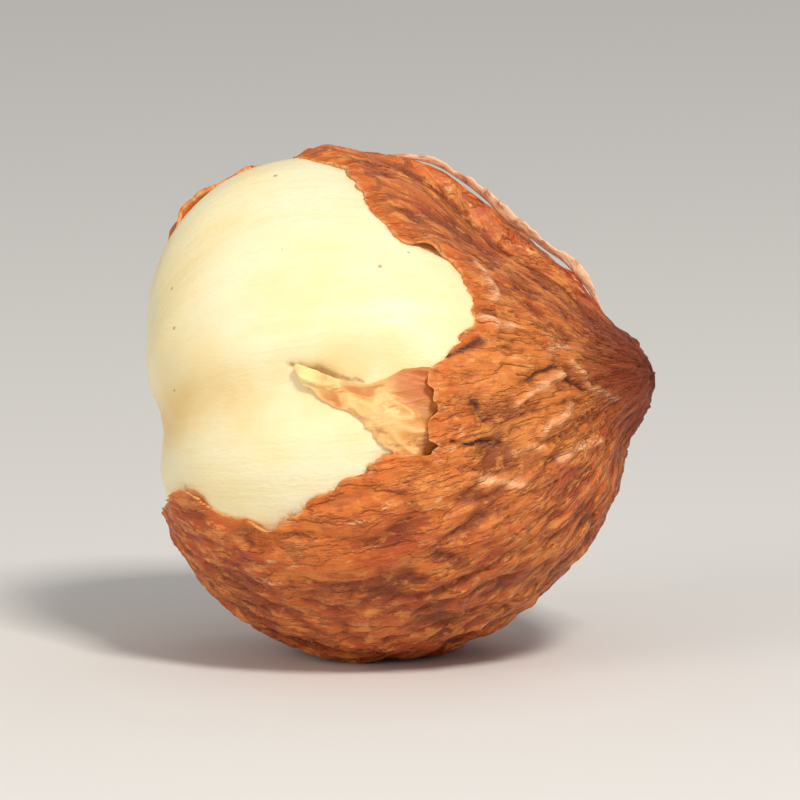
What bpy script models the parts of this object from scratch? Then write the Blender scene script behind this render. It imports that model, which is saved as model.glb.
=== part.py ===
"""A shelled hazelnut kernel in its papery brown skin, which is partly rubbed away to the pale flesh.

The nut lies on its side on a small flat spot, with its tip towards +X.
Metres, +Z up, and the origin is the middle of the flat spot.
"""

import math

import bmesh
import bpy
from mathutils import Matrix, Vector, noise

# Driving sizes. Angles are in degrees: polar runs from 0 at the tip to 180 at the base,
# and longitude runs round the nut from 0 on top to 90 on the side that faces -Y.
GIRTH_RADIUS = 0.00735
SKIN_THICKNESS = 0.00020
FLAT_SPOT_DEPTH = 0.00020

# How the nut lies
TIP_RISE = 9.0
TIP_TURN_TO_FRONT = 10.0

# Body: (share of the girth radius, polar angle, spread) of each swelling or hollow
BODY_SHAPE = {
    "drawn in towards the tip": (-0.023, 37.0, 27.0),
    "flattened base": (-0.131, 180.0, 30.0),
}
NUB_HEIGHT = 0.112
NUB_HALF_WIDTH = 11.0
# Unevenness: (share of the girth radius, polar angle, longitude, spread)
BODY_UNEVENNESS = {
    "upper lobe": (0.119, 118.0, 5.0, 30.0),
    "upper shoulder hollow": (-0.168, 47.0, 5.0, 25.0),
    "lower hip hollow": (-0.022, 125.0, 150.0, 26.0),
    "lower cheek hollow": (-0.030, 70.0, 170.0, 30.0),
    "fullness under the tip": (0.036, 34.0, 150.0, 20.0),
    "back hip": (0.050, 118.0, 285.0, 28.0),
    "back shoulder hollow": (-0.045, 48.0, 280.0, 26.0),
}

# The seam between the two seed leaves runs from the base up the front and the back
SEAM_LONGITUDE = 74.0
SEAM_DEPTH = 0.00036
SEAM_HALF_WIDTH = 0.0011
SEAM_FADES_AT = 60.0
SEAM_FADE_SPREAD = 24.0

# Outline of the rubbed patch, as (polar, longitude) points joined by a smooth closed curve
PATCH_OUTLINE = (
    (103, -7), (92, 8), (85, 14), (79, 26), (73, 37), (66, 38), (58, 45), (54, 58),
    (59, 69), (66, 75), (66, 85), (69, 95), (78, 95), (85, 99), (97, 101), (103, 105),
    (109, 109), (116, 107), (124, 103), (133, 100), (142, 106), (151, 118), (158, 138),
    (166, 168), (167, 205), (160, 242), (155, 280), (152, 312), (146, 341), (138, 355),
    (129, 0), (120, 358), (111, 355),
)
CURVE_STEPS = 4
TORN_WAVER = 0.00028
TORN_WAVE_LENGTH = 0.0011
TORN_EDGE_WIDTH = 0.00012
TORN_LIP = 0.00010
TORN_LIP_REACH = 0.0006

# Skin relief: three sets of fibres run from the base to the tip and wander a little,
# longer furrows lie between them, and the skin is puckered round the tip
FIBRE_COUNTS = (17, 29, 38)
FIBRE_SET_SHIFT = 2.0
FIBRE_HEIGHT = 0.000045
FIBRE_TWIST = 0.35
FIBRE_TWIST_LENGTH = 0.0043
FURROW_HEIGHT = 0.00013
FURROW_WAVE_LENGTH = 0.00105
FURROW_STRETCH = 0.32
TIP_WRINKLES = 1.2
TIP_WRINKLE_SPREAD = 26.0

# A strip of skin stands up along the top of the tip half, with a furrow in front of it
FOLD_LONGITUDE = -8.0
FOLD_POLAR = 46.0
FOLD_HALF_LENGTH = 29.0
FOLD_RISE = 0.00042
FOLD_HALF_WIDTH = 0.00032
FOLD_FURROW_OFFSET = 0.00085
FOLD_FURROW_SHARE = 0.65

# Flesh relief: the faint flutes that the fibres leave
FLUTE_COUNT = 13
FLUTE_HEIGHT = 0.000030
FLUTE_SLANT = 3.0

# Facets of the solid. A corner nearer to the torn edge than this share of its side is moved onto it.
FACETS_ROUND = 120
FACETS_ALONG = 44
SNAP_SHARE = 0.25

SKIN_COLOUR = (0.40, 0.115, 0.042, 1.0)
FLESH_COLOUR = (0.90, 0.74, 0.42, 1.0)
SKIN_ROUGHNESS = 0.48
FLESH_ROUGHNESS = 0.42


def clear_scene():
    for obj in list(bpy.data.objects):
        bpy.data.objects.remove(obj)


def direction_at(polar, longitude):
    """Unit vector from the nut's middle, in its own frame with +Z at the tip."""
    polar, longitude = math.radians(polar), math.radians(longitude)
    return Vector((
        math.sin(polar) * math.cos(longitude),
        math.sin(polar) * math.sin(longitude),
        math.cos(polar),
    ))


def angles_of(direction):
    """Polar angle and longitude of a unit vector, in degrees."""
    polar = math.degrees(math.acos(max(-1.0, min(1.0, direction.z))))
    return polar, math.degrees(math.atan2(direction.y, direction.x))


def swelling(distance, spread):
    """1 at no distance, falling smoothly to nothing over about twice the spread."""
    return math.exp(-((distance / spread) ** 2))


def smooth_step(value):
    value = max(0.0, min(1.0, value))
    return value * value * (3 - 2 * value)


def body_radius(direction):
    """The plump shape of the kernel, before any seam, fibre or skin."""
    polar, _ = angles_of(direction)
    share = 1.0 + NUB_HEIGHT * math.exp(-((polar / NUB_HALF_WIDTH) ** 3))
    for amount, at_polar, spread in BODY_SHAPE.values():
        share += amount * swelling(polar - at_polar, spread)
    for amount, at_polar, at_longitude, spread in BODY_UNEVENNESS.values():
        apart = math.degrees(direction.angle(direction_at(at_polar, at_longitude)))
        share += amount * swelling(apart, spread)
    return GIRTH_RADIUS * share


def seam_depth(direction):
    """Depth of the shallow groove between the seed leaves."""
    polar, _ = angles_of(direction)
    across = GIRTH_RADIUS * direction.dot(direction_at(90.0, SEAM_LONGITUDE + 90.0))
    length = smooth_step((polar - SEAM_FADES_AT) / SEAM_FADE_SPREAD)
    return SEAM_DEPTH * swelling(across, SEAM_HALF_WIDTH) * length


def fold_rise(direction):
    """Height of the strip of skin along the top, and of the furrow in front of it."""
    polar, longitude = angles_of(direction)
    turn = math.radians((longitude - FOLD_LONGITUDE + 180.0) % 360.0 - 180.0)
    across = GIRTH_RADIUS * math.sin(math.radians(polar)) * turn
    ridge = swelling(across, FOLD_HALF_WIDTH)
    furrow = swelling(across - FOLD_FURROW_OFFSET, FOLD_HALF_WIDTH)
    length = math.exp(-(((polar - FOLD_POLAR) / FOLD_HALF_LENGTH) ** 4))
    return FOLD_RISE * (ridge - FOLD_FURROW_SHARE * furrow) * length


class Patch:
    """The smooth closed curve through the outline points, laid flat round its middle."""

    def __init__(self, outline):
        directions = [direction_at(*point) for point in outline]
        self.middle = sum(directions, Vector()).normalized()
        self.across = self.middle.orthogonal().normalized()
        self.along = self.middle.cross(self.across)
        corners = [self.flat(direction) for direction in directions]
        self.border = []
        for index in range(len(corners)):
            before, start, end, after = (corners[(index + k - 1) % len(corners)] for k in range(4))
            for step in range(CURVE_STEPS):
                t = step / CURVE_STEPS
                self.border.append(0.5 * (
                    2 * start
                    + (end - before) * t
                    + (2 * before - 5 * start + 4 * end - after) * t ** 2
                    + (3 * start - before - 3 * end + after) * t ** 3
                ))

    def flat(self, direction):
        """Where a direction lies on the patch's flat map, at its true distance from the middle."""
        angle = self.middle.angle(direction)
        side = Vector((direction.dot(self.across), direction.dot(self.along)))
        return side.normalized() * angle * GIRTH_RADIUS if side.length > 1e-9 else Vector((0.0, 0.0))

    def distance(self, direction):
        """Distance to the patch's border along the surface, negative inside the patch."""
        point = self.flat(direction)
        nearest, inside = math.inf, False
        for start, end in zip(self.border, self.border[1:] + self.border[:1]):
            edge = end - start
            share = max(0.0, min(1.0, (point - start).dot(edge) / edge.length_squared))
            nearest = min(nearest, (start + edge * share - point).length)
            if (start.y > point.y) != (end.y > point.y):
                if point.x < start.x + (point.y - start.y) / edge.y * edge.x:
                    inside = not inside
        return -nearest if inside else nearest


def skin_margin(direction, patch):
    """Distance from the torn edge of the skin, negative where the skin is gone."""
    waver = TORN_WAVER * noise.noise(direction * GIRTH_RADIUS / TORN_WAVE_LENGTH)
    return patch.distance(direction) + waver


def skin_relief(direction):
    """Height of the fibres, of the longer furrows between them and of the fold."""
    polar, longitude = angles_of(direction)
    turn = math.radians(longitude)
    twist = FIBRE_TWIST * noise.noise(direction * GIRTH_RADIUS / FIBRE_TWIST_LENGTH)
    fibres = sum(
        math.sin(count * (turn + twist) + FIBRE_SET_SHIFT * index)
        for index, count in enumerate(FIBRE_COUNTS)
    ) / len(FIBRE_COUNTS)
    fibres *= 1 + TIP_WRINKLES * swelling(polar, TIP_WRINKLE_SPREAD)
    stretched = Vector((direction.x, direction.y, direction.z * FURROW_STRETCH))
    furrows = noise.noise(stretched * GIRTH_RADIUS / FURROW_WAVE_LENGTH)
    fade_at_poles = math.sin(math.radians(polar))
    return (FIBRE_HEIGHT * fibres + FURROW_HEIGHT * furrows) * fade_at_poles + fold_rise(direction)


def flesh_relief(direction):
    polar, longitude = angles_of(direction)
    flutes = math.sin(FLUTE_COUNT * math.radians(longitude) + FLUTE_SLANT * direction.z)
    return FLUTE_HEIGHT * flutes * math.sin(math.radians(polar))


def kernel_point(direction, margin):
    """The point of the nut's surface in one direction from its middle, in its own frame."""
    radius = body_radius(direction) - seam_depth(direction)
    covered = smooth_step(margin / TORN_EDGE_WIDTH)
    lip = TORN_LIP * math.exp(-max(0.0, margin) / TORN_LIP_REACH)
    radius += covered * (SKIN_THICKNESS + lip + skin_relief(direction))
    radius += (1 - covered) * flesh_relief(direction)
    return direction * radius


def cut_along(bm, margins, level):
    """Adds a line of corners to the globe where the distance from the torn edge is this much."""
    line = set()
    for edge in list(bm.edges):
        for near, far in (edge.verts, reversed(edge.verts)):
            low, high = margins[near] - level, margins[far] - level
            if low * high < 0 and low / (low - high) < SNAP_SHARE:
                near.co = near.co.lerp(far.co, low / (low - high)).normalized()
                margins[near] = level
                line.add(near)
    for edge in list(bm.edges):
        start, end = edge.verts
        low, high = margins[start] - level, margins[end] - level
        if low * high < 0:
            _, corner = bmesh.utils.edge_split(edge, start, low / (low - high))
            corner.co.normalize()
            margins[corner] = level
            line.add(corner)
    bmesh.ops.connect_verts(bm, verts=list(line))


def lying_rotation():
    """Turns the nut's own frame to how it lies: tip to +X, rising a little and turned to the front."""
    rise, turn = math.radians(TIP_RISE), math.radians(TIP_TURN_TO_FRONT)
    tip = Vector((math.cos(rise) * math.cos(turn), -math.cos(rise) * math.sin(turn), math.sin(rise)))
    top = (Vector((0.0, 0.0, 1.0)) - tip * tip.z).normalized()
    front = tip.cross(top)
    return Matrix((top, front, tip)).transposed()


def cut_flat_spot(bm):
    """Flattens the lowest part of the nut, and moves the middle of that flat spot to the origin."""
    lowest = min(vert.co.z for vert in bm.verts)
    bmesh.ops.translate(bm, verts=bm.verts, vec=(0, 0, -lowest - FLAT_SPOT_DEPTH))
    cut = bmesh.ops.bisect_plane(
        bm, geom=bm.verts[:] + bm.edges[:] + bm.faces[:], dist=FLAT_SPOT_DEPTH / 10,
        plane_co=(0, 0, 0), plane_no=(0, 0, -1), clear_outer=True,
    )
    rim = [item for item in cut["geom_cut"] if isinstance(item, bmesh.types.BMEdge)]
    for corner in {vert for edge in rim for vert in edge.verts}:
        corner.co.z = 0.0
    spot = bmesh.ops.edgeloop_fill(bm, edges=rim)["faces"][0]
    middle = spot.calc_center_median_weighted()
    bmesh.ops.translate(bm, verts=bm.verts, vec=(-middle.x, -middle.y, 0))


def material(name, colour, roughness):
    made = bpy.data.materials.new(name)
    made.use_nodes = True
    made.diffuse_color = colour
    shader = made.node_tree.nodes["Principled BSDF"]
    shader.inputs["Base Color"].default_value = colour
    shader.inputs["Roughness"].default_value = roughness
    shader.inputs["Metallic"].default_value = 0.0
    return made


def make_kernel():
    """The kernel: a fine globe with its poles at the tip and the base, drawn out to the nut's shape."""
    patch = Patch(PATCH_OUTLINE)
    bm = bmesh.new()
    bmesh.ops.create_uvsphere(bm, u_segments=FACETS_ROUND, v_segments=FACETS_ALONG, radius=1.0)
    margins = {vert: skin_margin(vert.co.normalized(), patch) for vert in bm.verts}
    cut_along(bm, margins, 0.0)
    cut_along(bm, margins, TORN_EDGE_WIDTH)
    for face in bm.faces:
        face.material_index = 0 if max(margins[vert] for vert in face.verts) > 0 else 1
        face.smooth = True
    for vert in bm.verts:
        vert.co = kernel_point(vert.co.normalized(), margins[vert])
    bmesh.ops.rotate(bm, verts=bm.verts, cent=(0, 0, 0), matrix=lying_rotation())
    cut_flat_spot(bm)
    bmesh.ops.recalc_face_normals(bm, faces=bm.faces)
    mesh = bpy.data.meshes.new("kernel")
    bm.to_mesh(mesh)
    bm.free()
    kernel = bpy.data.objects.new("kernel", mesh)
    kernel.data.materials.append(material("brown papery skin", SKIN_COLOUR, SKIN_ROUGHNESS))
    kernel.data.materials.append(material("pale flesh", FLESH_COLOUR, FLESH_ROUGHNESS))
    return kernel


def main():
    clear_scene()
    hazelnut = bpy.data.collections.new("hazelnut")
    bpy.context.scene.collection.children.link(hazelnut)
    hazelnut.objects.link(make_kernel())


main()
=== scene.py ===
"""A shelled hazelnut kernel as it looks: pale flesh, and papery brown skin that is partly torn away."""

import math

import bmesh
import bpy
import numpy as np
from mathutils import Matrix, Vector, noise


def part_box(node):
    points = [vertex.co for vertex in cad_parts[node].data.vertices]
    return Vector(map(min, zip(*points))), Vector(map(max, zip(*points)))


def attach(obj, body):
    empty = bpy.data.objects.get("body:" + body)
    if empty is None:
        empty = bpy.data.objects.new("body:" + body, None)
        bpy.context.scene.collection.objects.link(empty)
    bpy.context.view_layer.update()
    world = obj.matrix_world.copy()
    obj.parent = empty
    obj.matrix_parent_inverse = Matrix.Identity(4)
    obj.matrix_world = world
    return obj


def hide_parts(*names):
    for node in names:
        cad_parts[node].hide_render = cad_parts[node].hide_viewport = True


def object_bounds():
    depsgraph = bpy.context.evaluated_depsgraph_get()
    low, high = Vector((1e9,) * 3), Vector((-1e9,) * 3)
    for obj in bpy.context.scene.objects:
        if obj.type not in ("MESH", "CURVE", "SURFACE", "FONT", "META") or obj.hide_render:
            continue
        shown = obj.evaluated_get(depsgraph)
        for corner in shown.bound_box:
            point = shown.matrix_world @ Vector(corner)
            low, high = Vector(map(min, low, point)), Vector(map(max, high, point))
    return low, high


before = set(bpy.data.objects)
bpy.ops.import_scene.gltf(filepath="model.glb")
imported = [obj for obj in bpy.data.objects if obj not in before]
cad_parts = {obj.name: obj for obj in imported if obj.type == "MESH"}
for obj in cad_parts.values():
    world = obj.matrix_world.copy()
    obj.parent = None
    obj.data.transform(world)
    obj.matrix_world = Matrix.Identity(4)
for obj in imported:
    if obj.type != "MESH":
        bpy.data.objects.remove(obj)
solid_box = [list(corner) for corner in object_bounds()]

# The flesh
# The two seed leaves of the kernel, grown together into one plump body with a blunt tip, a flattened base
# and a shallow seam. It is smooth, faintly fluted and cream, and a little light passes through it.
# It is one grown piece, and the other pieces lie on it.
MM = 0.001
GIRTH_RADIUS = 7.35 * MM
# Each swelling or hollow: share of the girth radius, polar angle from the tip, and spread, in degrees
BODY_SHAPE = {
    "drawn in towards the tip": (-0.023, 37.0, 27.0),
    "flattened base": (-0.131, 180.0, 30.0),
}
NUB_HEIGHT = 0.112
NUB_HALF_WIDTH = 11.0
NUB_STEEPNESS = 3
# Unevenness: share of the girth radius, polar angle, longitude from the top towards the front, and spread
BODY_UNEVENNESS = {
    "upper lobe": (0.119, 118.0, 5.0, 30.0),
    "upper shoulder hollow": (-0.168, 47.0, 5.0, 25.0),
    "lower hip hollow": (-0.022, 125.0, 150.0, 26.0),
    "lower cheek hollow": (-0.030, 70.0, 170.0, 30.0),
    "fullness under the tip": (0.036, 34.0, 150.0, 20.0),
    "back hip": (0.050, 118.0, 285.0, 28.0),
    "back shoulder hollow": (-0.045, 48.0, 280.0, 26.0),
}
SEAM_LONGITUDE = 74.0
SEAM_DEPTH = 0.36 * MM
SEAM_HALF_WIDTH = 1.1 * MM
SEAM_FADES_AT = 60.0
SEAM_FADE_SPREAD = 24.0
FLUTE_COUNT = 13
FLUTE_HEIGHT = 0.030 * MM
FLUTE_SLANT = 3.0
DIMPLE_LENGTH = 0.9 * MM
DIMPLE_DEPTH = 0.024 * MM
DIMPLE_STRETCH = 0.5


def direction_at(polar, longitude):
    """Unit vectors from the nut's middle, in its own frame with the tip at +Z and longitude 0 on top."""
    polar, longitude = np.radians(polar), np.radians(longitude)
    return np.stack([
        np.sin(polar) * np.cos(longitude),
        np.sin(polar) * np.sin(longitude),
        np.cos(polar) + 0 * longitude,
    ], axis=-1)


def angles_of(directions):
    """Polar angle from the tip and longitude round the nut, in degrees."""
    polar = np.degrees(np.arccos(np.clip(directions[..., 2], -1, 1)))
    return polar, np.degrees(np.arctan2(directions[..., 1], directions[..., 0]))


def degrees_from(directions, polar, longitude):
    return np.degrees(np.arccos(np.clip(directions @ direction_at(polar, longitude), -1, 1)))


def swelling(distance, spread):
    """1 at no distance, falling smoothly to nothing over about twice the spread."""
    return np.exp(-((distance / spread) ** 2))


def smooth_step(value):
    value = np.clip(value, 0, 1)
    return value * value * (3 - 2 * value)


def noise_at(points, length):
    """Smooth noise from -1 to 1 at each point, with features of about this length."""
    return np.array([noise.noise(point) for point in (points / length).tolist()])


def seam_at(directions):
    """1 in the bottom of the seam and 0 away from it."""
    polar, _ = angles_of(directions)
    across = GIRTH_RADIUS * (directions @ direction_at(90.0, SEAM_LONGITUDE + 90.0))
    return swelling(across, SEAM_HALF_WIDTH) * smooth_step((polar - SEAM_FADES_AT) / SEAM_FADE_SPREAD)


def body_radius(directions):
    """The plump shape of the kernel, with its seam."""
    polar, _ = angles_of(directions)
    share = 1.0 + NUB_HEIGHT * np.exp(-((polar / NUB_HALF_WIDTH) ** NUB_STEEPNESS))
    for amount, at_polar, spread in BODY_SHAPE.values():
        share += amount * swelling(polar - at_polar, spread)
    for amount, at_polar, at_longitude, spread in BODY_UNEVENNESS.values():
        share += amount * swelling(degrees_from(directions, at_polar, at_longitude), spread)
    return GIRTH_RADIUS * share - SEAM_DEPTH * seam_at(directions)


def grain_of(directions):
    """Coordinates that run with the fibres: two round the nut and one along it, in metres."""
    polar, longitude = angles_of(directions)
    turn = np.radians(longitude)
    return GIRTH_RADIUS * np.stack([np.cos(turn), np.sin(turn), np.radians(polar)], axis=-1)


def flesh_radius(directions):
    """The body with its faint flutes and dimples."""
    polar, longitude = angles_of(directions)
    flutes = np.sin(FLUTE_COUNT * np.radians(longitude) + FLUTE_SLANT * directions[:, 2])
    dimples = noise_at(grain_of(directions) * (1.0, 1.0, DIMPLE_STRETCH), DIMPLE_LENGTH)
    relief = FLUTE_HEIGHT * flutes * np.sin(np.radians(polar)) + DIMPLE_DEPTH * dimples
    return body_radius(directions) + relief


# The skin's torn edge
# Where the skin was rubbed off, it tore along an uneven line that follows the fibres here and there.
# The bare patch takes in the upper lobe, the seam and the base, and runs just over the nut's back.
# Its outline runs through these (polar, longitude) points.
PATCH_OUTLINE = (
    (103, -7), (92, 8), (85, 14), (79, 26), (73, 37), (66, 38), (58, 45), (54, 58),
    (59, 69), (66, 75), (66, 85), (69, 95), (78, 95), (85, 99), (97, 101), (103, 105),
    (109, 109), (116, 107), (124, 103), (133, 100), (142, 106), (151, 118), (158, 138),
    (166, 168), (167, 205), (160, 242), (155, 280), (152, 312), (146, 341), (138, 355),
    (129, 0), (120, 358), (111, 355),
)
CURVE_STEPS = 4
LEAST_LENGTH = 1e-9
TORN_WAVER = 0.28 * MM
TORN_WAVE_LENGTH = 1.1 * MM
# Jags of the tear: depth, width, and how much they are drawn out along the fibres
JAGS = (
    (0.20 * MM, 0.42 * MM, 0.30),
    (0.08 * MM, 0.16 * MM, 0.40),
)


def distance_to_line(points, start, end):
    """Distance from each point to the straight line between two ends."""
    edge = end - start
    share = np.clip((points - start) @ edge / (edge @ edge), 0, 1)
    return np.linalg.norm(start + share[:, None] * edge - points, axis=1)


class Outline:
    """A smooth closed curve through (polar, longitude) points, laid flat round its middle."""

    def __init__(self, points):
        directions = direction_at(*np.transpose(points).astype(float))
        middle = directions.sum(axis=0)
        self.middle = middle / np.linalg.norm(middle)
        across = np.cross(self.middle, (0.0, 0.0, 1.0))
        self.across = across / np.linalg.norm(across)
        self.along = np.cross(self.middle, self.across)
        corners = self.flat(directions)
        before, start, end, after = (np.roll(corners, 1 - step, axis=0) for step in range(4))
        t = (np.arange(CURVE_STEPS) / CURVE_STEPS)[:, None, None]
        curve = 0.5 * (
            2 * start
            + (end - before) * t
            + (2 * before - 5 * start + 4 * end - after) * t ** 2
            + (3 * start - before - 3 * end + after) * t ** 3
        )
        self.border = curve.transpose(1, 0, 2).reshape(-1, 2)

    def flat(self, directions):
        """Where directions lie on the flat map, at their true distance from the middle."""
        angle = np.arccos(np.clip(directions @ self.middle, -1, 1))
        side = np.stack([directions @ self.across, directions @ self.along], axis=-1)
        length = np.maximum(np.linalg.norm(side, axis=-1), LEAST_LENGTH)
        return side * (GIRTH_RADIUS * angle / length)[:, None]

    def distance(self, directions):
        """Distance to the curve along the surface, negative inside it."""
        points = self.flat(directions)
        nearest = np.full(len(points), np.inf)
        inside = np.zeros(len(points), bool)
        for start, end in zip(self.border, np.roll(self.border, -1, axis=0)):
            nearest = np.minimum(nearest, distance_to_line(points, start, end))
            edge = end - start
            slope = edge[0] / edge[1] if edge[1] else 0.0
            crosses = (start[1] > points[:, 1]) != (end[1] > points[:, 1])
            inside ^= crosses & (points[:, 0] < start[0] + (points[:, 1] - start[1]) * slope)
        return np.where(inside, -nearest, nearest)


bare_patch = Outline(PATCH_OUTLINE)


def jag_at(directions):
    """Depth of the jags, which fade towards the base and the tip, where the fibres run together."""
    grain = grain_of(directions)
    jags = sum(depth * noise_at(grain * (1.0, 1.0, stretch), width) for depth, width, stretch in JAGS)
    return jags * np.sin(np.radians(angles_of(directions)[0]))


def skin_margin(directions):
    """Distance from the torn edge of the skin, negative where the skin is gone."""
    waver = TORN_WAVER * noise_at(directions * GIRTH_RADIUS, TORN_WAVE_LENGTH)
    return bare_patch.distance(directions) + waver + jag_at(directions)


# The skin's surface
# A dry pellicle about a fifth of a millimetre thick. Its fibres run from the base to the tip, it is
# puckered round the tip and crumpled elsewhere, and a fold of it stands up along the top of the tip half.
SKIN_THICKNESS = 0.20 * MM
TORN_LIP = 0.10 * MM
TORN_LIP_REACH = 0.6 * MM
FIBRE_COUNTS = (17, 29, 38)
FIBRE_SET_SHIFT = 2.0
FIBRE_HEIGHT = 0.045 * MM
FIBRE_TWIST = 0.35
FIBRE_TWIST_LENGTH = 4.3 * MM
FURROW_HEIGHT = 0.13 * MM
FURROW_WAVE_LENGTH = 1.05 * MM
FURROW_STRETCH = 0.32
TIP_WRINKLES = 1.2
TIP_WRINKLE_SPREAD = 26.0
FOLD_LONGITUDE = -8.0
FOLD_POLAR = 46.0
FOLD_HALF_LENGTH = 29.0
FOLD_END_STEEPNESS = 4
FOLD_RISE = 0.42 * MM
FOLD_HALF_WIDTH = 0.32 * MM
FOLD_FURROW_OFFSET = 0.85 * MM
FOLD_FURROW_SHARE = 0.65


def skin_relief(directions):
    """Height of the fibres, of the longer furrows between them and of the fold."""
    polar, longitude = angles_of(directions)
    turn = np.radians(longitude)
    twist = FIBRE_TWIST * noise_at(directions * GIRTH_RADIUS, FIBRE_TWIST_LENGTH)
    fibres = sum(
        np.sin(count * (turn + twist) + FIBRE_SET_SHIFT * index)
        for index, count in enumerate(FIBRE_COUNTS)
    ) / len(FIBRE_COUNTS)
    fibres *= 1 + TIP_WRINKLES * swelling(polar, TIP_WRINKLE_SPREAD)
    furrows = noise_at(directions * (1.0, 1.0, FURROW_STRETCH) * GIRTH_RADIUS, FURROW_WAVE_LENGTH)
    relief = (FIBRE_HEIGHT * fibres + FURROW_HEIGHT * furrows) * np.sin(np.radians(polar))
    across = GIRTH_RADIUS * np.sin(np.radians(polar)) * np.radians(longitude - FOLD_LONGITUDE)
    fold = swelling(across, FOLD_HALF_WIDTH)
    fold -= FOLD_FURROW_SHARE * swelling(across - FOLD_FURROW_OFFSET, FOLD_HALF_WIDTH)
    along = (polar - FOLD_POLAR) / FOLD_HALF_LENGTH
    return relief + FOLD_RISE * fold * np.exp(-(along ** FOLD_END_STEEPNESS))


def skin_level(directions, margin):
    """Radius of the skin's outer side, which stands a little higher beside the torn edge."""
    lip = TORN_LIP * np.exp(-np.maximum(margin, 0) / TORN_LIP_REACH)
    return body_radius(directions) + SKIN_THICKNESS + lip + skin_relief(directions)


# Where the nut lies
# It lies loose on its side, with its tip raised a little and turned towards the front. Its middle is
# found from the solid's box, which the outermost surfaces of the skin and the flesh fill.
TIP_RISE = 9.0
TIP_TURN_TO_FRONT = 10.0
GLOBE_FINENESS = 7


def new_globe():
    bm = bmesh.new()
    bmesh.ops.create_icosphere(bm, subdivisions=GLOBE_FINENESS, radius=1.0)
    return bm


def directions_in(bm):
    points = np.array([vert.co[:] for vert in bm.verts])
    return points / np.linalg.norm(points, axis=1)[:, None]


rise, turn_to_front = math.radians(TIP_RISE), math.radians(TIP_TURN_TO_FRONT)
tip = np.array((
    math.cos(rise) * math.cos(turn_to_front),
    -math.cos(rise) * math.sin(turn_to_front),
    math.sin(rise),
))
top = np.array((0.0, 0.0, 1.0)) - tip * tip[2]
top /= np.linalg.norm(top)
lying = np.stack([top, np.cross(tip, top), tip])

flesh_globe = new_globe()
flesh_directions = directions_in(flesh_globe)
flesh_margin = skin_margin(flesh_directions)
flesh_level = flesh_radius(flesh_directions)
outer_level = np.where(flesh_margin > 0, skin_level(flesh_directions, flesh_margin), flesh_level)
outer = (flesh_directions * outer_level[:, None]) @ lying
low, high = (np.array(corner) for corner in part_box("kernel"))
nut_middle = (low + high) / 2 - (outer.min(axis=0) + outer.max(axis=0)) / 2
# The flat spot cuts off the bottom, so its height is found from the top.
nut_middle[2] = high[2] - outer[:, 2].max()


def placed(points, rest_height=0.0):
    """Points of the nut's own frame where the nut lies, none of them below this height."""
    points = points @ lying + nut_middle
    points[:, 2] = np.maximum(points[:, 2], rest_height)
    return points


def add_piece(name, bm, points, finish, **attributes):
    """Draws the mesh out to these points, and keeps on it what its finish reads."""
    for vert, point in zip(bm.verts, points.tolist()):
        vert.co = point
    bmesh.ops.recalc_face_normals(bm, faces=bm.faces)
    mesh = bpy.data.meshes.new(name)
    bm.to_mesh(mesh)
    bm.free()
    mesh.shade_smooth()
    for kind, values in attributes.items():
        if values.ndim == 1:
            mesh.attributes.new(kind, "FLOAT", "POINT").data.foreach_set("value", values)
        else:
            mesh.attributes.new(kind, "FLOAT_VECTOR", "POINT").data.foreach_set("vector", values.ravel())
    mesh.materials.append(finish)
    piece = bpy.data.objects.new(name, mesh)
    bpy.context.scene.collection.objects.link(piece)
    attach(piece, "root")
    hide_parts("kernel")


# The flesh's finish and its slit
# Cream with a faint waxy gloss. It is yellower and slightly mottled in places, and warmer and
# darker in the seam, partly its own tint and partly painted shade in the seam's hollow. Beside the
# torn skin it is tinted tan here and there, partly a stain and partly painted shade along the skin's
# edge, and it has a few tiny brown specks. A shallow slit runs along the upper edge of the film,
# painted brown as the shade in it and under the film's curled tip. Under the skin the flesh is sunk
# out of sight.
class Wire:
    """A shader socket. Sums and products of it, such as 1 - mask, add Math nodes to its material."""

    def __init__(self, tree, socket=None):
        self.tree = tree
        self.socket = socket

    def node(self, kind, settings=(), inputs=(), output=0):
        """Adds a node with these settings, then these values or wires in its sockets."""
        made = self.tree.nodes.new("ShaderNode" + kind)
        for name, value in dict(settings).items():
            setattr(made, name, value)
        for name, value in dict(inputs).items():
            if isinstance(value, Wire):
                self.tree.links.new(value.socket, made.inputs[name])
            else:
                made.inputs[name].default_value = value
        return Wire(self.tree, made.outputs[output])

    def maths(self, operation, first, second):
        return self.node("Math", {"operation": operation}, {0: first, 1: second})

    def __add__(self, other):
        return self.maths("ADD", self, other)

    __radd__ = __add__

    def __sub__(self, other):
        return self.maths("SUBTRACT", self, other)

    def __rsub__(self, other):
        return self.maths("SUBTRACT", other, self)

    def __mul__(self, other):
        return self.maths("MULTIPLY", self, other)

    __rmul__ = __mul__

    def between(self, start, end):
        """0 up to the start and 1 from the end, and smooth between."""
        settings = {"interpolation_type": "SMOOTHSTEP"}
        return self.node("MapRange", settings, {"Value": self, "From Min": start, "From Max": end})

    def creases(self, half_width):
        """1 along the lines where this passes through a half, and 0 away from them."""
        return 1 - self.node("Math", {"operation": "ABSOLUTE"}, {0: self - 0.5}).between(0.0, half_width)

    def colour(self, low, high):
        """The low colour where this is 0 and the high one where it is 1."""
        settings = {"data_type": "RGBA"}
        return self.node("Mix", settings, {0: self, 6: low, 7: high}, output=2)

    def along(self):
        """The coordinate that runs along the nut, from the tip."""
        return self.node("SeparateXYZ", (), {"Vector": self}, "Z")

    def stretched(self, share):
        """These coordinates with the one along the nut shortened, so that patterns grow long that way."""
        return self.node("VectorMath", {"operation": "MULTIPLY"}, {0: self, 1: (1.0, 1.0, share)})

    def clouds(self, length, detail=3.0, roughness=0.5):
        """Noise at these coordinates, around 0.5, with features of about this length."""
        inputs = {"Vector": self, "Scale": 1 / length, "Detail": detail, "Roughness": roughness}
        return self.node("TexNoise", (), inputs)

    def attribute(self, name, output="Fac"):
        return self.node("Attribute", {"attribute_name": name}, output=output)


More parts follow.
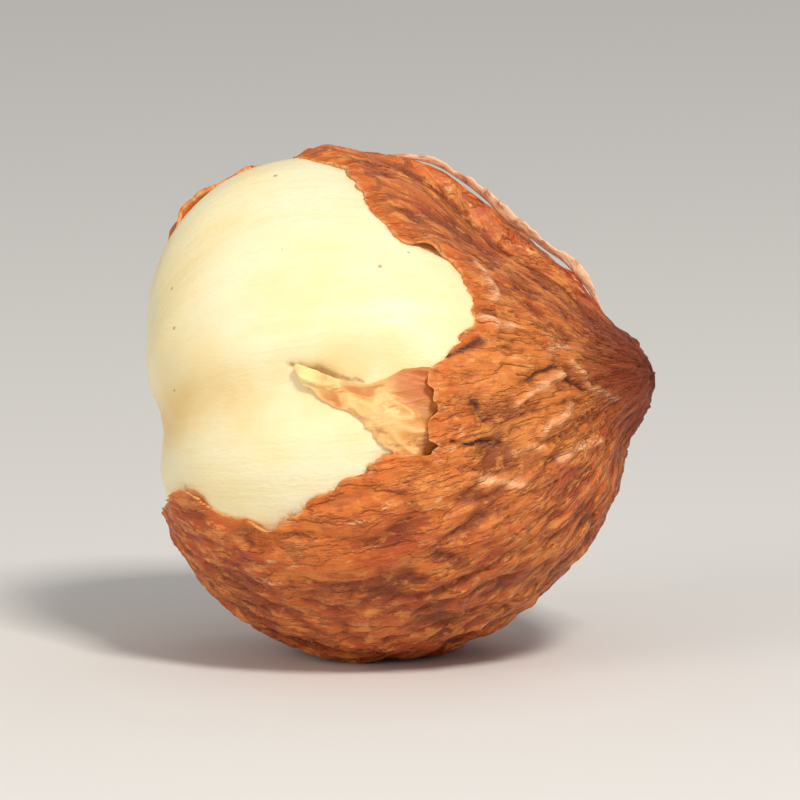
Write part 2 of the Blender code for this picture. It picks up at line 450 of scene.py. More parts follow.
def srgb(red, green, blue):
    """A colour as a screen shows it, from 0 to 255, as light."""
    shares = (value / 255 for value in (red, green, blue))
    return (*(s / 12.92 if s <= 0.04045 else ((s + 0.055) / 1.055) ** 2.4 for s in shares), 1.0)


def new_finish(name, **constants):
    """A Principled material with these constants, and a wire to build its patterns from."""
    finish = bpy.data.materials.new(name)
    finish.use_nodes = True
    shader = finish.node_tree.nodes["Principled BSDF"]
    for socket, value in constants.items():
        shader.inputs[socket.replace("_", " ")].default_value = value
    return finish, shader, Wire(finish.node_tree)


def connect(shader, colour, roughness, height, relief):
    """Joins a finish's patterns to its shader; a Bump node raises the height as far as the relief."""
    tree = colour.tree
    bump = colour.node("Bump", (), {"Height": height, "Distance": relief, "Strength": 1.0}, "Normal")
    tree.links.new(colour.socket, shader.inputs["Base Color"])
    tree.links.new(roughness.socket, shader.inputs["Roughness"])
    tree.links.new(bump.socket, shader.inputs["Normal"])


FLESH_LIGHT = srgb(242, 233, 194)
FLESH_WARM = srgb(244, 224, 164)
FLESH_SEAM_TINT_AND_SHADE = srgb(232, 198, 128)
FLESH_STAIN_AND_SHADE = srgb(222, 162, 88)
FLESH_SPECK = srgb(150, 104, 62)
FLESH_SLIT_SHADE = srgb(166, 110, 50)
FLESH_CLOUD_LENGTH = 2.6 * MM
FLESH_STREAK_LENGTH = 0.45 * MM
FLESH_FINE_LENGTH = 0.12 * MM
STAIN_AND_SHADE_LENGTH = 0.5 * MM
SPECK_SPACING = 1.0 * MM
FLESH_GLOSS_LENGTH = 0.8 * MM
FLESH_FINE_RELIEF = 0.035 * MM
# The streaks fade between these distances from the tip, because they would run together at the base.
STREAKS_FADE = (16.0 * MM, 20.5 * MM)


def cream_flesh():
    finish, shader, start = new_finish(
        "cream_flesh", Subsurface_Weight=0.18, Subsurface_Radius=(1.0, 0.55, 0.25),
        Subsurface_Scale=0.5 * MM,
    )
    grain = start.attribute("grain", "Vector")
    margin = start.attribute("margin")
    seam = start.attribute("seam")
    slit = start.attribute("slit")
    cloudy = grain.clouds(FLESH_CLOUD_LENGTH).between(0.30, 0.70)
    before_base = 1 - grain.along().between(*STREAKS_FADE)
    streaky = grain.stretched(0.15).clouds(FLESH_STREAK_LENGTH, 4.0, 0.6).between(0.42, 0.72) * before_base
    fine = grain.stretched(0.6).clouds(FLESH_FINE_LENGTH, 4.0, 0.6) * before_base
    colour = (cloudy * 0.7 + streaky * 0.3).colour(FLESH_LIGHT, FLESH_WARM)
    # The seam is warmer and darker: partly its own tint, partly painted shade in its hollow.
    colour = (seam * (0.35 + 0.6 * cloudy)).colour(colour, FLESH_SEAM_TINT_AND_SHADE)
    # Tan patches beside the torn skin: partly a stain, partly painted shade along the skin's edge.
    patchy = grain.clouds(STAIN_AND_SHADE_LENGTH, 4.0, 0.6)
    near_skin = (margin + 0.3 * patchy).between(0.05, 0.19) * patchy.between(0.42, 0.56)
    colour = (near_skin * 0.8).colour(colour, FLESH_STAIN_AND_SHADE)
    # Each cell has a speck in its middle if the cell's own random colour is light enough.
    speck_cells = {"Vector": grain, "Scale": 1 / SPECK_SPACING}
    speck_size = 0.04 + 0.07 * grain.clouds(SPECK_SPACING)
    speck_near = (speck_size - start.node("TexVoronoi", (), speck_cells, "Distance")).between(0.0, 0.02)
    speck_chosen = start.node("TexVoronoi", (), speck_cells, "Color").between(0.46, 0.48)
    colour = (speck_near * speck_chosen * 0.6).colour(colour, FLESH_SPECK)
    # The slit is painted brown as shade: the shade in its groove and under the film's curled tip.
    colour = ((slit + 0.3 * fine).between(0.25, 1.10) * 0.85).colour(colour, FLESH_SLIT_SHADE)
    roughness = 0.30 + 0.20 * grain.clouds(FLESH_GLOSS_LENGTH)
    connect(shader, colour, roughness, fine * 0.5 + streaky * 0.35, FLESH_FINE_RELIEF)
    return finish


# Strokes run from one (polar, longitude) point to another, with a depth and half width in millimetres.
SLIT_STROKES = (
    (98.5, 69.4, 96, 69.9, 0.08, 0.07),
    (96, 69.9, 93, 71.0, 0.13, 0.11),
    (93, 71.0, 88, 73.8, 0.16, 0.14),
    (88, 74.3, 82, 75.9, 0.08, 0.09),
)
STROKE_WAVE_LENGTH = 0.55 * MM
STROKE_WAVER = 0.13 * MM
STROKE_WAVE_SHIFTS = (0 * MM, 11 * MM, 23 * MM)
SINK_UNDER_SKIN = 0.45 * MM
SINK_REACH = 0.8 * MM
SINK_START = 0.6
FLESH_REST_HEIGHT = 0.25 * MM


def on_strokes(directions, strokes):
    """Height of the strokes at each point, and how much the point lies on one, from 0 to 1."""
    raised, share = np.zeros(len(directions)), np.zeros(len(directions))
    sway = [noise_at(directions * GIRTH_RADIUS + shift, STROKE_WAVE_LENGTH) for shift in STROKE_WAVE_SHIFTS]
    points = GIRTH_RADIUS * (directions + STROKE_WAVER / GIRTH_RADIUS * np.stack(sway, axis=-1))
    for start_polar, start_longitude, end_polar, end_longitude, height, half_width in strokes:
        start = GIRTH_RADIUS * direction_at(start_polar, start_longitude)
        end = GIRTH_RADIUS * direction_at(end_polar, end_longitude)
        near = swelling(distance_to_line(points, start, end), half_width * MM)
        raised = np.maximum(raised, near * height * MM)
        share = np.maximum(share, near)
    return raised, share


slit_depth, slit = on_strokes(flesh_directions, SLIT_STROKES)
sunk = SINK_UNDER_SKIN * smooth_step(flesh_margin / SINK_REACH - SINK_START)
radius = flesh_level - slit_depth - sunk
add_piece(
    "flesh", flesh_globe, placed(flesh_directions * radius[:, None], FLESH_REST_HEIGHT), cream_flesh(),
    grain=grain_of(flesh_directions), margin=flesh_margin / MM, slit=slit, seam=seam_at(flesh_directions),
)


# The papery skin
# The brown pellicle over the rest of the kernel, grown on the flesh. At its torn edge it thins out on the
# flesh in some places, and stands off it and curls in others. It is crumpled finely all over, and has
# sharp wrinkles and cracks on the cheek beside the tip.
EDGE_THICKNESS = 0.05 * MM
LEAST_COVER = 0.5 * EDGE_THICKNESS
BEDDED_IN_FLESH = 0.03 * MM
TAPER_REACH = 0.70 * MM
THICKENING_REACH = 2 * TAPER_REACH
LOOSE_SHARE = 0.25
LOOSE_CONTRAST = 1.3
LOOSE_HEIGHT = 0.16 * MM
CURL_REACH = 0.5 * MM
CURL_UNEVENNESS = 1.5 * MM
LOOSE_FROM_CURL = 0.1 * MM
REFINED_BANDS = (0.42 * MM, 0.15 * MM)
REFINED_STROKE_SHARE = 0.02
KEPT_BESIDE_EDGE = 0.5 * MM
SNAP_SHARE = 0.2
INNER_REST_HEIGHT = 0.12 * MM
# Places where the torn edge stands up more, or less: (polar, longitude, height and reach in millimetres)
CURLS = (
    (123, 1, 0.09, 0.6),
    (113, -3, 0.03, 1.0),
    (132, 2, 0.03, 0.9),
    (144, -8, -0.20, 1.4),
    (97, 1, -0.12, 1.4),
    (67, 80, 0.12, 0.9),
    (68, 92, 0.12, 0.8),
    (104, 105, 0.06, 0.8),
    (151, 118, 0.06, 1.0),
)
# Crumples: height, width, and how much they are drawn out along the fibres
CRUMPLES = (
    (0.090 * MM, 0.62 * MM, 0.60),
    (0.065 * MM, 0.30 * MM, 0.60),
)
THIN_CRUMPLE_SHARE = 0.5
CREASE_DEPTH = 0.110 * MM
CREASE_SPACING = 0.80 * MM
CREASE_STRETCH = 0.30
CREASE_SHARPNESS = 3.5
CREASE_SHIFT = 5 * MM
CHEEK_RIDGE_HEIGHT = 0.085 * MM
CHEEK_RIDGE_SPACING = 0.75 * MM
CHEEK_RIDGE_STRETCH = 0.6
CHEEK_RIDGE_SHARPNESS = 4
CHEEK_RIDGE_SHIFT = 9 * MM
RIDGES_ELSEWHERE = 0.25
# Places on the skin, as (polar, longitude), each with its spread in degrees: the ridged cheek, its pale
# part, a smooth red spot beside the film's root, a calmer stretch below it, and the rougher underside
CHEEK_AT = (38, 84)
CHEEK_SPREAD = 25.0
PALE_AT = (52, 84)
PALE_SPREAD = 24.0
SMOOTH_AT = (60, 86)
SMOOTH_SPREAD = 9.0
SMOOTHNESS = 0.7
REDDENED_SHARE = 0.8
CALM_AT = (92, 116)
CALM_SPREAD = 17.0
CALMNESS = 0.5
UNDERSIDE_AT = (88, 150)
UNDERSIDE_SPREAD = 30.0
UNDERSIDE_CRUMPLING = 0.8
# Single wrinkles: (polar, longitude) of both ends, then height and half width in millimetres
WRINKLES = (
    (46, 88, 39, 83, 0.21, 0.09),
    (39, 83, 31, 79, 0.19, 0.10),
    (41, 99, 35, 96, 0.18, 0.09),
    (35, 96, 29, 93, 0.16, 0.10),
    (26, 73, 20, 88, 0.18, 0.10),
    (20, 88, 13, 102, 0.15, 0.10),
    (52, 60, 44, 62, 0.12, 0.13),
    (49, 102, 40, 103, 0.15, 0.09),
    (52, 38, 48, 52, 0.08, 0.16),
    (36, 70, 27, 63, 0.09, 0.10),
    (36, 112, 24, 118, 0.10, 0.11),
    (58, 106, 49, 112, 0.08, 0.12),
)
CRACKS = (
    (44, 81, 38, 78, 0.14, 0.08),
    (38, 78, 32, 75, 0.14, 0.08),
    (30, 79, 24, 86, 0.14, 0.08),
    (53, 67, 62, 72, 0.10, 0.09),
    (66, 93, 59, 95.5, 0.16, 0.055),
    (59, 95.5, 51, 97, 0.16, 0.055),
    (57, 84, 54, 90, 0.10, 0.06),
)


def line_at(unevenness, sharpness):
    """1 along the lines where this noise is 0, and 0 away from them."""
    return 1 - np.minimum(np.abs(unevenness) * sharpness, 1)


def crumple_relief(directions):
    """Height of the crumples and creases that are finer than the fibres and the furrows."""
    grain = grain_of(directions)
    relief = np.zeros(len(directions))
    for height, width, stretch in CRUMPLES:
        relief += height * noise_at(grain * (1.0, 1.0, stretch), width)
    creases = noise_at(grain * (1.0, 1.0, CREASE_STRETCH) + CREASE_SHIFT, CREASE_SPACING)
    relief -= CREASE_DEPTH * line_at(creases, CREASE_SHARPNESS) ** 2
    ridges = noise_at(grain * (1.0, 1.0, CHEEK_RIDGE_STRETCH) + CHEEK_RIDGE_SHIFT, CHEEK_RIDGE_SPACING)
    cheek = RIDGES_ELSEWHERE + swelling(degrees_from(directions, *CHEEK_AT), CHEEK_SPREAD)
    relief += CHEEK_RIDGE_HEIGHT * cheek * line_at(ridges, CHEEK_RIDGE_SHARPNESS) ** 2
    underside = swelling(degrees_from(directions, *UNDERSIDE_AT), UNDERSIDE_SPREAD)
    calm = swelling(degrees_from(directions, *CALM_AT), CALM_SPREAD)
    smooth = swelling(degrees_from(directions, *SMOOTH_AT), SMOOTH_SPREAD)
    return relief * (1 + UNDERSIDE_CRUMPLING * underside) * (1 - CALMNESS * calm) * (1 - SMOOTHNESS * smooth)


def refine(bm, near):
    """Divides the facets whose corners are all in this set."""
    edges = [edge for edge in bm.edges if near.issuperset(edge.verts)]
    bmesh.ops.subdivide_edges(bm, edges=edges, cuts=1)
    bmesh.ops.triangulate(bm, faces=[face for face in bm.faces if len(face.verts) > 3])
    for vert in bm.verts:
        vert.co.normalize()


def cut_along_edge(bm, margins):
    """Adds a line of corners to the globe where the distance from the torn edge is nothing."""
    line = []
    for edge in list(bm.edges):
        for near, far in (edge.verts, reversed(edge.verts)):
            low, high = margins[near], margins[far]
            if low * high < 0 and low / (low - high) < SNAP_SHARE:
                near.co = near.co.lerp(far.co, low / (low - high)).normalized()
                margins[near] = 0.0
                line.append(near)
    for edge in list(bm.edges):
        start, end = edge.verts
        low, high = margins[start], margins[end]
        if low * high < 0:
            _, corner = bmesh.utils.edge_split(edge, start, low / (low - high))
            corner.co.normalize()
            margins[corner] = 0.0
            line.append(corner)
    bmesh.ops.connect_verts(bm, verts=line)


def cut_from_globe(margin_of, bands, strokes=()):
    """The globe where the margin is above 0, with finer facets in bands by its edge and by the strokes."""
    bm = new_globe()
    margins = margin_of(directions_in(bm))
    beyond = [vert for vert, margin in zip(bm.verts, margins) if margin < -KEPT_BESIDE_EDGE]
    bmesh.ops.delete(bm, geom=beyond, context="VERTS")
    for band in bands:
        margins = margin_of(directions_in(bm))
        refine(bm, {vert for vert, margin in zip(bm.verts, margins) if abs(margin) < band})
    if strokes:
        _, share = on_strokes(directions_in(bm), strokes)
        refine(bm, {vert for vert, near in zip(bm.verts, share) if near > REFINED_STROKE_SHARE})
    margins = dict(zip(bm.verts, margin_of(directions_in(bm))))
    cut_along_edge(bm, margins)
    gone = [face for face in bm.faces if min(margins[vert] for vert in face.verts) < 0]
    bmesh.ops.delete(bm, geom=gone, context="FACES")
    loose = [vert for vert in bm.verts if not vert.link_faces]
    bmesh.ops.delete(bm, geom=loose, context="VERTS")
    bmesh.ops.triangulate(bm, faces=[face for face in bm.faces if len(face.verts) > 3])
    return bm


def make_shell(bm):
    """Closes the open sheet with a second one, and tells of each corner whether it is on the outer one."""
    made = bmesh.ops.extrude_face_region(bm, geom=bm.faces[:], use_keep_orig=True)["geom"]
    outer = {item for item in made if isinstance(item, bmesh.types.BMVert)}
    return np.array([vert in outer for vert in bm.verts])


SKIN_MID = srgb(216, 112, 40)
SKIN_RED = srgb(184, 76, 26)
SKIN_DARK = srgb(116, 46, 14)
SKIN_NUB_SHADE = srgb(142, 52, 18)
SKIN_LIGHT = srgb(238, 150, 70)
SKIN_SCURF = srgb(250, 190, 132)
SKIN_THIN = srgb(220, 112, 36)
SKIN_RIDGE_PALE_AND_HIGHLIGHT = srgb(252, 194, 142)
SKIN_FRAY = srgb(234, 172, 104)
SKIN_CRACK_SHADE = srgb(70, 30, 14)
BLOTCH_LENGTH = 1.9 * MM
MOTTLE_LENGTH = 0.50 * MM
SPOT_LENGTH = 0.36 * MM
FIBRE_WIDTH = 0.18 * MM
THREAD_WIDTH = 0.07 * MM
SCURF_LENGTH = 0.26 * MM
FLECK_LENGTH = 0.30 * MM
SHADED_CREASE_SPACING = 0.75 * MM
NUB_FADES = (2.2 * MM, 4.2 * MM)
NUB_UNEVENNESS = 2.0 * MM
SKIN_FINE_RELIEF = 0.11 * MM
SKIN_RELIEF_SCALE = 0.15 * MM


def papery_skin():
    finish, shader, start = new_finish("papery_skin", Specular_IOR_Level=0.40)
    grain = start.attribute("grain", "Vector")
    margin = start.attribute("margin")
    relief = start.attribute("relief")
    loose = start.attribute("loose")
    ridge = start.attribute("ridge")
    crack = start.attribute("crack")
    cheek = start.attribute("cheek")
    calm = start.attribute("calm")
    blotches = grain.stretched(0.7).clouds(BLOTCH_LENGTH, 4.0, 0.6)
    mottles = grain.stretched(0.55).clouds(MOTTLE_LENGTH, 5.0, 0.65)
    spots = grain.stretched(0.7).clouds(SPOT_LENGTH, 3.0, 0.6)
    fibres = grain.stretched(0.14).clouds(FIBRE_WIDTH, 5.0, 0.65)
    threads = grain.stretched(0.05).clouds(THREAD_WIDTH, 3.0, 0.6)
    scurf = grain.stretched(0.45).clouds(SCURF_LENGTH, 5.0, 0.7)
    flecks = grain.stretched(0.6).clouds(FLECK_LENGTH, 4.0, 0.6)
    crumpled = grain.stretched(0.40).clouds(SHADED_CREASE_SPACING, 4.0, 0.55).creases(0.05)
    # The ground is red-brown with lighter blotches, and lightest on the cheek.
    colour = (blotches + 0.25 * cheek + 0.10 * calm).between(0.40, 0.62).colour(SKIN_RED, SKIN_MID)
    colour = (cheek * 0.45).colour(colour, SKIN_LIGHT)
    # Over it lie mottles, fibres, spots and flecks, and painted shade in creases and low hollows,
    # most of them weaker on the cheek or where calm.
    colour = (mottles.between(0.49, 0.62) * (0.70 - 0.45 * calm)).colour(colour, SKIN_LIGHT)
    colour = (fibres.between(0.52, 0.68) * 0.30).colour(colour, SKIN_LIGHT)
    dark_fibres = (1 - fibres.between(0.34, 0.47)) * (0.40 - 0.25 * cheek - 0.15 * calm)
    colour = dark_fibres.colour(colour, SKIN_DARK)
    # Painted shade along the crumpled creases.
    colour = (crumpled * blotches.between(0.42, 0.60) * 0.50).colour(colour, SKIN_DARK)
    colour = ((1 - threads.between(0.36, 0.48)) * (0.22 - 0.12 * cheek)).colour(colour, SKIN_DARK)
    # Painted shade where the relief is low.
    colour = ((1 - relief.between(-0.9, 0.15)) * 0.75).colour(colour, SKIN_DARK)
    colour = (spots.between(0.56, 0.64) * (0.60 - 0.35 * cheek - 0.40 * calm)).colour(colour, SKIN_DARK)
    colour = (flecks.between(0.56, 0.64) * (0.60 - 0.40 * calm)).colour(colour, SKIN_LIGHT)
    colour = (scurf.between(0.55, 0.66) * relief.between(0.0, 0.9) * 0.9).colour(colour, SKIN_SCURF)
    # The nub is darker and redder, a painted shade, and the torn edge is thin and frayed.
    near_tip = 1 - (grain.along() + NUB_UNEVENNESS * mottles).between(*NUB_FADES)
    colour = (near_tip * 0.8).colour(colour, SKIN_NUB_SHADE)
    thin = 1 - (margin + mottles * 1.1).between(0.50, 1.25)
    colour = (thin * (0.85 - 0.45 * loose)).colour(colour, SKIN_THIN)
    frayed = (1 - (margin + mottles * 0.35).between(0.16, 0.32)) * scurf.between(0.40, 0.56)
    colour = (frayed * 0.75).colour(colour, SKIN_FRAY)
    # The single wrinkles are slightly glossy and pale, partly paler skin, partly a painted highlight,
    # and the cracks are painted dark brown as the shade in them.
    ridge_pale_and_highlight = ridge * (1 - 0.75 * near_tip)
    colour = (ridge_pale_and_highlight * (0.25 + 0.7 * scurf.between(0.42, 0.60))).colour(colour, SKIN_RIDGE_PALE_AND_HIGHLIGHT)
    colour = (crack * 0.85).colour(colour, SKIN_CRACK_SHADE)
    roughness = 0.28 + 0.34 * mottles - 0.12 * ridge
    height = fibres * 0.4 + threads * 0.2 + scurf * 0.7 + mottles * 0.7 - crumpled * 0.5
    connect(shader, colour, roughness, height, SKIN_FINE_RELIEF)
    return finish


skin_sheet = cut_from_globe(skin_margin, REFINED_BANDS, WRINKLES + CRACKS)
on_top = make_shell(skin_sheet)
directions = directions_in(skin_sheet)
margin = np.maximum(skin_margin(directions), 0)
level = flesh_radius(directions)
wrinkle_height, ridge = on_strokes(directions, WRINKLES)
crack_depth, crack = on_strokes(directions, CRACKS)
crumples = crumple_relief(directions) + wrinkle_height - crack_depth
loose = smooth_step(LOOSE_SHARE + LOOSE_CONTRAST * noise_at(directions * GIRTH_RADIUS, CURL_UNEVENNESS))
curl = sum(
    height * MM * swelling(GIRTH_RADIUS * np.radians(degrees_from(directions, polar, longitude)), reach * MM)
    for polar, longitude, height, reach in CURLS
)
loose = np.clip(loose + curl / LOOSE_FROM_CURL, 0, 1)
by_edge = np.exp(-margin / CURL_REACH)
lift = (loose * LOOSE_HEIGHT + np.maximum(curl, 0)) * by_edge
thinned = (1 - loose) * (1 - smooth_step(margin / TAPER_REACH))
full_level = skin_level(directions, margin) + crumples + np.maximum(curl, 0) * by_edge
thin_level = level + EDGE_THICKNESS + THIN_CRUMPLE_SHARE * np.maximum(crumples, 0)
top_level = full_level + (thin_level - full_level) * thinned
top_level = np.maximum(top_level, level + lift + LEAST_COVER)
thickness = EDGE_THICKNESS + (SKIN_THICKNESS - EDGE_THICKNESS) * smooth_step(margin / THICKENING_REACH)
under_level = np.minimum(top_level - thickness, level - BEDDED_IN_FLESH)
gap = (top_level - EDGE_THICKNESS - under_level) * loose * (1 - smooth_step(margin / CURL_REACH))
under_level = under_level + np.maximum(gap, 0)
radius = np.where(on_top, top_level, under_level)
rest_height = np.where(on_top, 0.0, INNER_REST_HEIGHT)
reddened = REDDENED_SHARE * swelling(degrees_from(directions, *SMOOTH_AT), SMOOTH_SPREAD)
add_piece(
    "skin", skin_sheet, placed(directions * radius[:, None], rest_height), papery_skin(),
    grain=grain_of(directions), margin=margin / MM, loose=loose, ridge=ridge, crack=crack,
    cheek=swelling(degrees_from(directions, *PALE_AT), PALE_SPREAD) * (1 - reddened),
    calm=swelling(degrees_from(directions, *CALM_AT), CALM_SPREAD),
    relief=(top_level - body_radius(directions) - SKIN_THICKNESS) / SKIN_RELIEF_SCALE,
)


# The film in the seam
# A tongue of the skin's innermost layer is left in the seam between the lobes. It is thin, tan and
# crumpled, brown at its root, and fast on the flesh except at its pointed end, which has curled up.
# Its outline runs through these (polar, longitude) points.
FILM_OUTLINE = (
    (97, 70), (91, 73), (84, 76), (76, 76), (70, 74), (62, 76), (60, 86), (64, 99), (74, 96),
    (79, 89), (84, 84), (90, 80), (95, 76),
)
FILM_THICKNESS = 0.05 * MM
FILM_BEDDED_IN_FLESH = 0.02 * MM
FILM_BANDS = (2.4 * MM, 0.25 * MM)
FILM_CURL_AT = (94.5, 72.5)
FILM_CURL_HEIGHT = 0.24 * MM
FILM_CURL_REACH = 0.6 * MM
FILM_ROOT_AT = (66.0, 87.0)
FILM_CREASE_HEIGHT = 0.14 * MM
FILM_CREASE_SPACING = 0.50 * MM
FILM_CREASE_STRETCH = 0.28
FILM_CREASE_SHARPNESS = 3
FILM_CREASE_POWER = 1.5
FILM_CREASE_FADE = 0.3 * MM
FILM_CREASE_AT_EDGE = 0.3
FILM_SINK = 0.30 * MM
FILM_SINK_REACH = 0.45 * MM
FILM_BROWN_AT = (69, 77)
FILM_BROWN_SPREAD = 8.0
FILM_TAN = srgb(226, 156, 80)
FILM_PALE = srgb(246, 200, 130)
FILM_DARK = srgb(188, 106, 44)
FILM_TIP_PALE_AND_HIGHLIGHT = srgb(252, 226, 150)
FILM_BROWN = srgb(196, 104, 44)
FILM_STREAK_WIDTH = 0.16 * MM
FILM_BLOTCH_LENGTH = 0.6 * MM
FILM_FINE_RELIEF = 0.05 * MM

film_outline = Outline(FILM_OUTLINE)


def film_margin(directions):
    """Distance inside the film's edge."""
    return -film_outline.distance(directions) + jag_at(directions)


def tan_film():
    finish, shader, start = new_finish("seam_film", Subsurface_Weight=0.1, Subsurface_Scale=0.4 * MM)
    grain = start.attribute("grain", "Vector")
    margin = start.attribute("margin")
    crease = start.attribute("crease")
    at_tip = start.attribute("at_tip")
    browned = start.attribute("browned")
    streaks = grain.stretched(0.2).clouds(FILM_STREAK_WIDTH, 4.0, 0.65)
    blotches = grain.clouds(FILM_BLOTCH_LENGTH, 4.0, 0.6)
    colour = blotches.between(0.40, 0.62).colour(FILM_TAN, FILM_PALE)
    colour = ((1 - streaks.between(0.36, 0.48)) * 0.7).colour(colour, FILM_DARK)
    # Painted shade between the creases and painted highlight on their ridges.
    colour = ((1 - crease.between(0.0, 0.25)) * 0.7).colour(colour, FILM_DARK)
    colour = (crease.between(0.4, 1.0) * 0.7).colour(colour, FILM_PALE)
    colour = ((1 - (margin + streaks * 0.3).between(0.18, 0.30)) * 0.5).colour(colour, FILM_PALE)
    # The curled tip is paler: partly its own colour, partly a painted highlight.
    colour = at_tip.colour(colour, FILM_TIP_PALE_AND_HIGHLIGHT)
    colour = ((browned + 0.4 * blotches).between(0.45, 1.15) * 0.90).colour(colour, FILM_BROWN)
    connect(shader, colour, 0.36 + 0.2 * blotches, streaks, FILM_FINE_RELIEF)
    return finish


film_sheet = cut_from_globe(film_margin, FILM_BANDS)
on_top = make_shell(film_sheet)
directions = directions_in(film_sheet)
margin = film_margin(directions)
curl_distance = GIRTH_RADIUS * np.radians(degrees_from(directions, *FILM_CURL_AT))
curl = FILM_CURL_HEIGHT * swelling(curl_distance, FILM_CURL_REACH)
film_run = direction_at(*FILM_CURL_AT) - direction_at(*FILM_ROOT_AT)
film_run = film_run / np.linalg.norm(film_run)
run = directions @ film_run
squeezed = directions - (1 - FILM_CREASE_STRETCH) * run[:, None] * film_run
folds = noise_at(squeezed * GIRTH_RADIUS, FILM_CREASE_SPACING)
crease = line_at(folds, FILM_CREASE_SHARPNESS) ** FILM_CREASE_POWER
crease = crease * smooth_step(margin / FILM_CREASE_FADE + FILM_CREASE_AT_EDGE)
level = flesh_radius(directions) + curl
level = level - FILM_SINK * smooth_step(skin_margin(directions) / FILM_SINK_REACH)
top_level = level + FILM_THICKNESS + FILM_CREASE_HEIGHT * crease
radius = np.where(on_top, top_level, level - FILM_BEDDED_IN_FLESH)
add_piece(
    "seam_film", film_sheet, placed(directions * radius[:, None]), tan_film(),
    grain=grain_of(directions), margin=np.maximum(margin, 0) / MM,
    crease=crease, at_tip=swelling(curl_distance, FILM_CURL_REACH),
    browned=swelling(degrees_from(directions, *FILM_BROWN_AT), FILM_BROWN_SPREAD),
)


# The loose strip
# A narrow strip of dried skin that has come away along the top of the tip half. It stands over the fold
# there, paler than the rest, and is still joined to the skin at both ends.
STRIP_POLAR = (80.0, 13.0)
STRIP_STATIONS = 200
STRIP_HALF_WIDTH = 0.20 * MM
STRIP_HALF_THICKNESS = 0.04 * MM
STRIP_SIDES = 8
STRIP_TAPER_ENDS = (0.002, 0.998)
STRIP_ROOT = 0.06 * MM
STRIP_STAND_OFF = 0.17 * MM
STRIP_LEAN = 60.0
STRIP_LEAN_CHANGE = 25
STRIP_SWAY = 2.2
STRIP_SWAY_LENGTH = 0.16
STRIP_SWAY_PLACE = 3.3
STRIP_RAG_LENGTH = 0.035
STRIP_RAG_PLACE = 7.1
STRIP_SWAY_WIDENING = 0.30
STRIP_RAG_WIDENING = 0.35
FAR_FROM_EDGE = 9 * MM
STRIP_PALE = srgb(244, 198, 158)
STRIP_BROWN = srgb(168, 88, 48)
STRIP_BLOTCH_LENGTH = 0.5 * MM
STRIP_STREAK_WIDTH = 0.10 * MM
STRIP_FINE_RELIEF = 0.06 * MM


def dry_skin():
    finish, shader, start = new_finish("pale_dry_skin", Sheen_Weight=0.1)
    grain = start.attribute("grain", "Vector")
    blotches = grain.clouds(STRIP_BLOTCH_LENGTH, 4.0, 0.6)
    streaks = grain.stretched(0.2).clouds(STRIP_STREAK_WIDTH, 3.0)
    colour = blotches.between(0.50, 0.72).colour(STRIP_PALE, STRIP_BROWN)
    colour = ((1 - streaks.between(0.36, 0.48)) * 0.5).colour(colour, STRIP_BROWN)
    connect(shader, colour, 0.42 + 0.25 * blotches, streaks, STRIP_FINE_RELIEF)
    return finish


def ribbon(path, side, normal, half_width, half_thickness):
    """A ribbon along the path, oval in section, and pointed where its half width falls to nothing."""
    bm = bmesh.new()
    rings = []
    for angle in np.linspace(0, 2 * math.pi, STRIP_SIDES, endpoint=False):
        offset = side * (half_width * math.cos(angle))[:, None]
        offset = offset + normal * (half_thickness * math.sin(angle))[:, None]
        rings.append(path + offset)
    stations = np.stack(rings, axis=1)
    rings = [[bm.verts.new(point) for point in station] for station in stations.tolist()]
    for ring, following in zip(rings, rings[1:]):
        for index in range(STRIP_SIDES):
            after = (index + 1) % STRIP_SIDES
            bm.faces.new((ring[index], ring[after], following[after], following[index]))
    bm.faces.new(list(reversed(rings[0])))
    bm.faces.new(rings[-1])
    return bm


def unit(vectors):
    return vectors / np.linalg.norm(vectors, axis=1)[:, None]


def noise_along(share, place, length):
    """Noise along the strip, taken from its own place in the noise."""
    return noise_at(np.stack([share, 0 * share, 0 * share + place], axis=-1), length)


share = np.linspace(0, 1, STRIP_STATIONS)
polar = STRIP_POLAR[0] + (STRIP_POLAR[1] - STRIP_POLAR[0]) * share
sway = noise_along(share, STRIP_SWAY_PLACE, STRIP_SWAY_LENGTH)
ragged = noise_along(share, STRIP_RAG_PLACE, STRIP_RAG_LENGTH)
directions = direction_at(polar, FOLD_LONGITUDE + STRIP_SWAY * sway)
taper = np.sqrt(np.sin(math.pi * np.clip(share, *STRIP_TAPER_ENDS)))
half_width = STRIP_HALF_WIDTH * taper * (1 + STRIP_SWAY_WIDENING * sway + STRIP_RAG_WIDENING * ragged)
lean = np.radians(STRIP_LEAN + STRIP_LEAN_CHANGE * sway)
level = skin_level(directions, np.full(STRIP_STATIONS, FAR_FROM_EDGE))
level = level + half_width * np.sin(lean) - STRIP_ROOT
level = level + STRIP_STAND_OFF * np.sin(math.pi * share)
path = directions * level[:, None]
side = np.cross(unit(np.gradient(path, axis=0)), directions)
lean = lean[:, None]
strip = ribbon(
    path, side * np.cos(lean) + directions * np.sin(lean),
    directions * np.cos(lean) - side * np.sin(lean), half_width, STRIP_HALF_THICKNESS * taper,
)
points = np.array([vert.co[:] for vert in strip.verts])
add_piece("loose_strip", strip, placed(points), dry_skin(), grain=grain_of(unit(points)))


# The floor and the light
# A plain pale floor, one soft light from the upper right of the camera, weaker ones from the left and from
# behind, and an even pale surrounding.
FLOOR_RADIUS = 3.0
FLOOR_SEGMENTS = 96
FLOOR_COLOUR = srgb(226, 223, 218)
# Each soft light: azimuth from the camera's side towards its right, and elevation, in degrees, then its
# distance, size, power and colour
SOFTBOXES = {
    "key": (24, 46, 0.30, 0.06, 0.70, (1.0, 0.97, 0.92)),
    "fill": (-50, 20, 0.35, 0.20, 0.38, (1.0, 0.96, 0.90)),
    "rim": (150, 45, 0.35, 0.14, 0.06, (1.0, 0.98, 0.96)),
}
SURROUNDING_COLOUR = srgb(236, 236, 238)
SURROUNDING_STRENGTH = 0.42

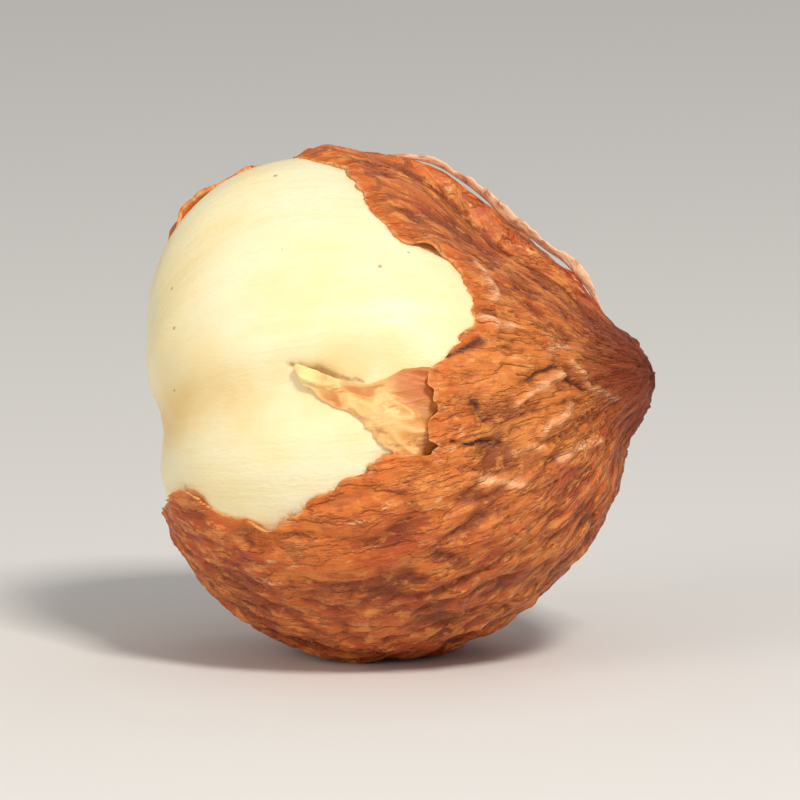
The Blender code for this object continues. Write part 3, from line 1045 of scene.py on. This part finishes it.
floor_finish, _, _ = new_finish("pale_floor", Base_Color=FLOOR_COLOUR, Roughness=0.8)
floor_disc = bmesh.new()
bmesh.ops.create_circle(floor_disc, cap_ends=True, segments=FLOOR_SEGMENTS, radius=FLOOR_RADIUS)
floor_mesh = bpy.data.meshes.new("floor")
floor_disc.to_mesh(floor_mesh)
floor_disc.free()
floor_mesh.materials.append(floor_finish)
floor = bpy.data.objects.new("floor", floor_mesh)
bpy.context.scene.collection.objects.link(floor)

solid_middle = (Vector(solid_box[0]) + Vector(solid_box[1])) / 2


def add_softbox(name, azimuth, elevation, distance, size, power, colour):
    """A square area light that faces the nut's middle."""
    lamp = bpy.data.lights.new(name, "AREA")
    lamp.size = size
    lamp.energy = power
    lamp.color = colour
    softbox = bpy.data.objects.new(name, lamp)
    azimuth, elevation = math.radians(azimuth), math.radians(elevation)
    away = Vector((
        math.sin(azimuth) * math.cos(elevation),
        -math.cos(azimuth) * math.cos(elevation),
        math.sin(elevation),
    ))
    softbox.location = solid_middle + distance * away
    softbox.rotation_euler = away.to_track_quat("Z", "Y").to_euler()
    bpy.context.scene.collection.objects.link(softbox)


for name, settings in SOFTBOXES.items():
    add_softbox(name, *settings)

world = bpy.data.worlds.new("surrounding")
world.use_nodes = True
background = world.node_tree.nodes["Background"]
background.inputs["Color"].default_value = SURROUNDING_COLOUR
background.inputs["Strength"].default_value = SURROUNDING_STRENGTH
bpy.context.scene.world = world
bpy.context.scene.view_settings.view_transform = "Standard"

# The camera
# It looks at the nut's side from a little above, and from far off with a long lens. The solid's height
# takes up a fixed share of the picture's.
CAMERA_ELEVATION = 8.0
CAMERA_DISTANCE = 0.37
SHARE_OF_FRAME = 0.64
NEAREST_SEEN = 0.01
FURTHEST_SEEN = 10.0

camera_data = bpy.data.cameras.new("camera")
camera = bpy.data.objects.new("camera", camera_data)
bpy.context.scene.collection.objects.link(camera)
elevation = math.radians(CAMERA_ELEVATION)
back = Vector((0.0, -math.cos(elevation), math.sin(elevation)))
camera.location = solid_middle + CAMERA_DISTANCE * back
camera.rotation_euler = back.to_track_quat("Z", "Y").to_euler()
frame_width = (solid_box[1][2] - solid_box[0][2]) / SHARE_OF_FRAME
camera_data.lens = camera_data.sensor_width * CAMERA_DISTANCE / frame_width
camera_data.clip_start = NEAREST_SEEN
camera_data.clip_end = FURTHEST_SEEN
bpy.context.scene.camera = camera
